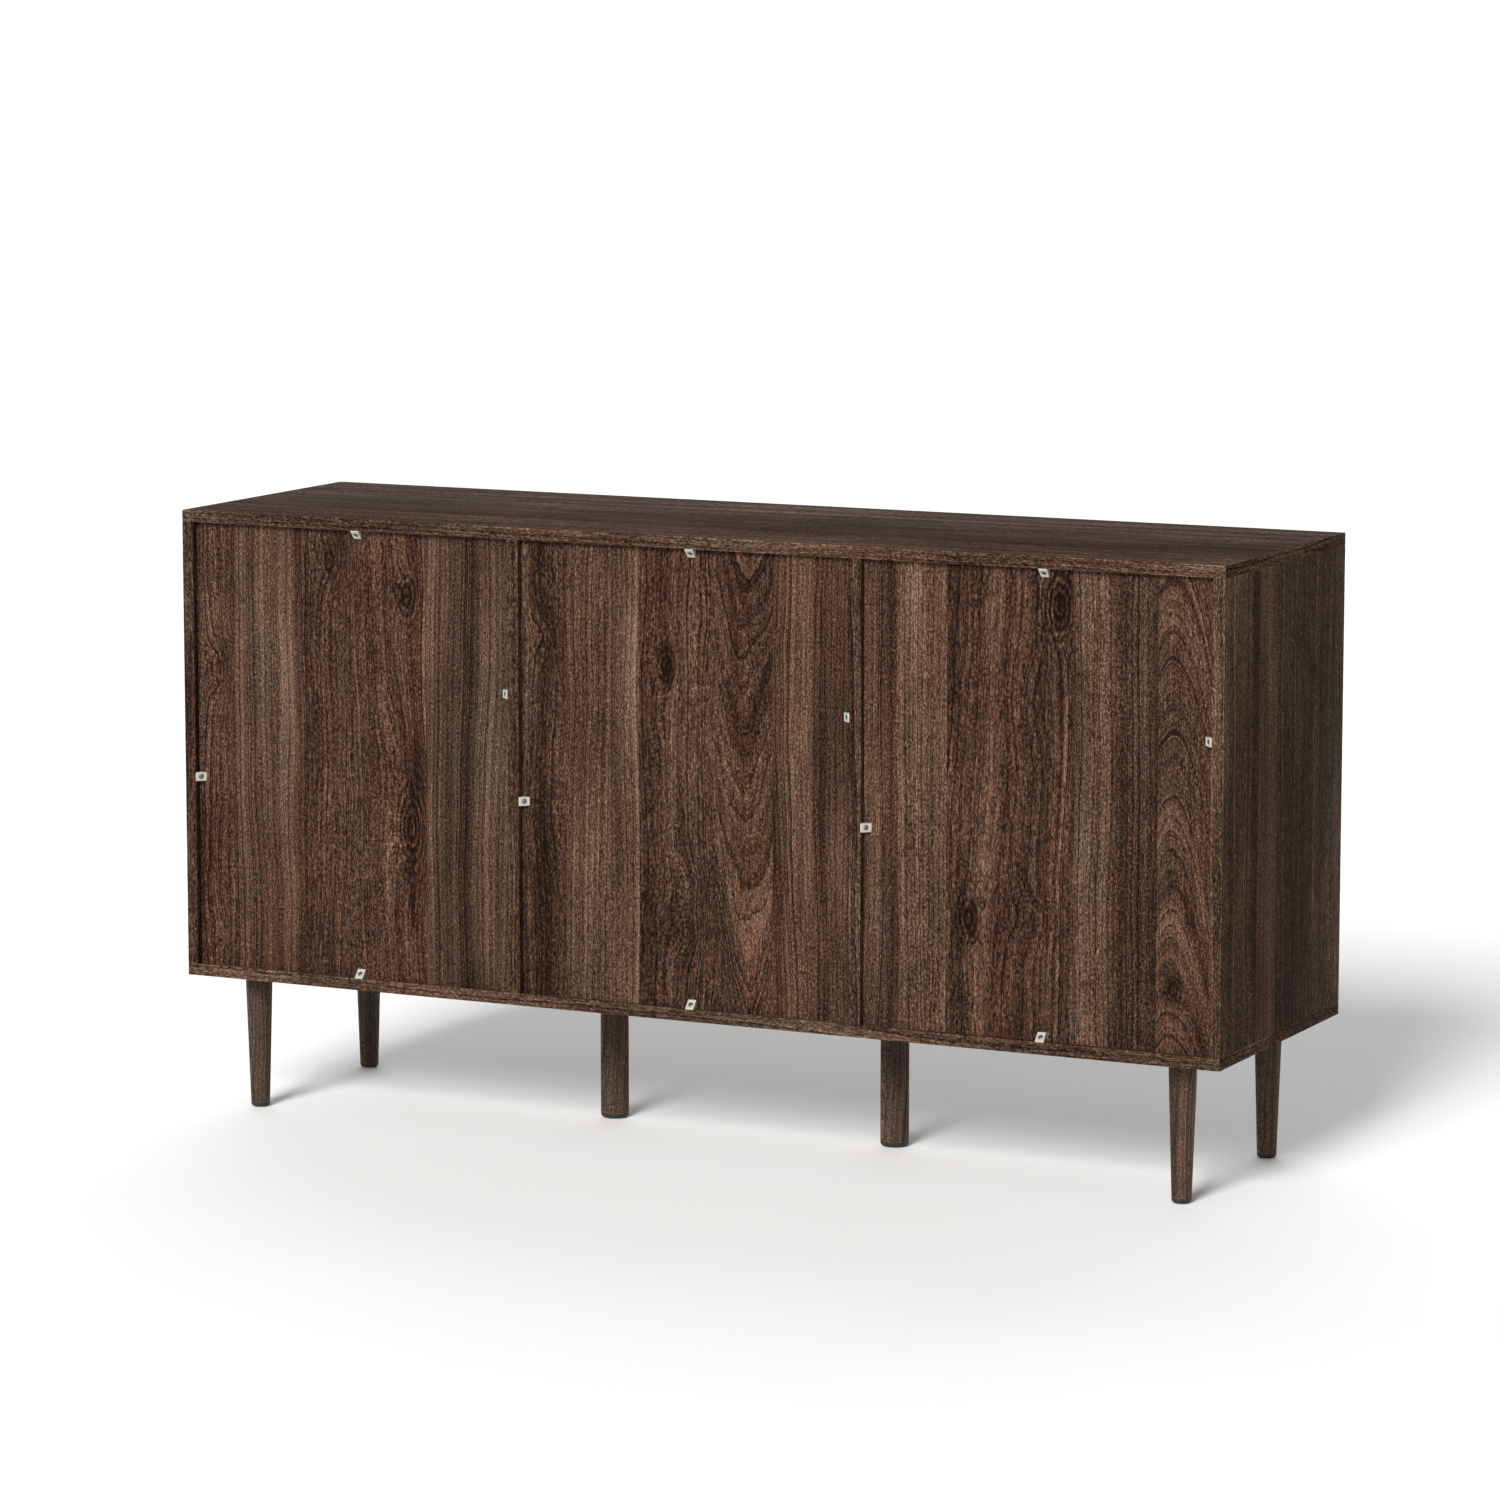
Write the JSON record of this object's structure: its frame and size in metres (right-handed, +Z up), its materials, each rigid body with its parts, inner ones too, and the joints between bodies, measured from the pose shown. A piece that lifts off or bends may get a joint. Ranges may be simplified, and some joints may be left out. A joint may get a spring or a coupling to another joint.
{
  "type": "sideboard buffet",
  "caption": "Low wooden storage cabinet with a flat top, side-by-side bays behind inset swing doors, recessed back panels held by small wedge clips, and round legs with dark foot caps.",
  "frame": {"origin": "on the floor, below the middle of the whole object's box, knobs included", "axes": "+Z up, -Y out of the doors, +X to the right as seen from the front"},
  "size_m": [1.42, 0.422, 0.776],
  "materials": {
    "walnut_laminate": "satin dark walnut wood-grain laminate",
    "walnut_back": "satin dark walnut wood-grain foil on thin board",
    "walnut_leg": "satin stained wood",
    "pale_plastic": "smooth off-white moulded plastic",
    "black_plastic": "matt black moulded plastic",
    "black_metal": "matt black coated metal",
    "steel": "satin nickel-plated steel"
  },
  "bodies": {
    "carcass": {"top_board": "walnut_laminate", "bottom_board": "walnut_laminate", "side_panel_left": "walnut_laminate", "divider_left": "walnut_laminate", "divider_right": "walnut_laminate", "side_panel_right": "walnut_laminate", "back_panel_left": "walnut_back", "back_panel_middle": "walnut_back", "back_panel_right": "walnut_back", "shelf_left": "walnut_laminate", "shelf_middle": "walnut_laminate", "shelf_right": "walnut_laminate", "back_clip_left_top": "pale_plastic", "back_clip_left_bottom": "pale_plastic", "back_clip_left_low": "pale_plastic", "back_clip_left_high": "pale_plastic", "back_clip_middle_top": "pale_plastic", "back_clip_middle_bottom": "pale_plastic", "back_clip_middle_low": "pale_plastic", "back_clip_middle_high": "pale_plastic", "back_clip_right_top": "pale_plastic", "back_clip_right_bottom": "pale_plastic", "back_clip_right_low": "pale_plastic", "back_clip_right_high": "pale_plastic", "leg_front_left": "walnut_leg", "foot_cap_front_left": "black_plastic", "leg_rear_left": "walnut_leg", "foot_cap_rear_left": "black_plastic", "leg_front_right": "walnut_leg", "foot_cap_front_right": "black_plastic", "leg_rear_right": "walnut_leg", "foot_cap_rear_right": "black_plastic", "leg_middle_left": "walnut_leg", "foot_cap_middle_left": "black_plastic", "leg_middle_right": "walnut_leg", "foot_cap_middle_right": "black_plastic", "hinge_left_lower_frame_leaf": "steel", "hinge_left_upper_frame_leaf": "steel", "catch_left": "black_plastic", "hinge_middle_lower_frame_leaf": "steel", "hinge_middle_upper_frame_leaf": "steel", "catch_middle": "black_plastic", "hinge_right_lower_frame_leaf": "steel", "hinge_right_upper_frame_leaf": "steel", "catch_right": "black_plastic"},
    "door_left": {"door_left": "walnut_laminate", "knob_left": "black_metal", "strike_left": "steel", "hinge_left_lower_door_leaf": "steel", "hinge_left_upper_door_leaf": "steel"},
    "door_middle": {"door_middle": "walnut_laminate", "knob_middle": "black_metal", "strike_middle": "steel", "hinge_middle_lower_door_leaf": "steel", "hinge_middle_upper_door_leaf": "steel"},
    "door_right": {"door_right": "walnut_laminate", "knob_right": "black_metal", "strike_right": "steel", "hinge_right_lower_door_leaf": "steel", "hinge_right_upper_door_leaf": "steel"}
  },
  "joints": [
    {"name": "door_left_hinge", "type": "hinge", "parent": "carcass", "child": "door_left", "pos_m": [-0.694, -0.1923, 0.476], "axis": [0, 0, -1], "range_deg": [0, 105]},
    {"name": "door_middle_hinge", "type": "hinge", "parent": "carcass", "child": "door_middle", "pos_m": [-0.22567, -0.1923, 0.476], "axis": [0, 0, -1], "range_deg": [0, 105]},
    {"name": "door_right_hinge", "type": "hinge", "parent": "carcass", "child": "door_right", "pos_m": [0.694, -0.1923, 0.476], "axis": [0, 0, 1], "range_deg": [0, 105]}
  ]
}
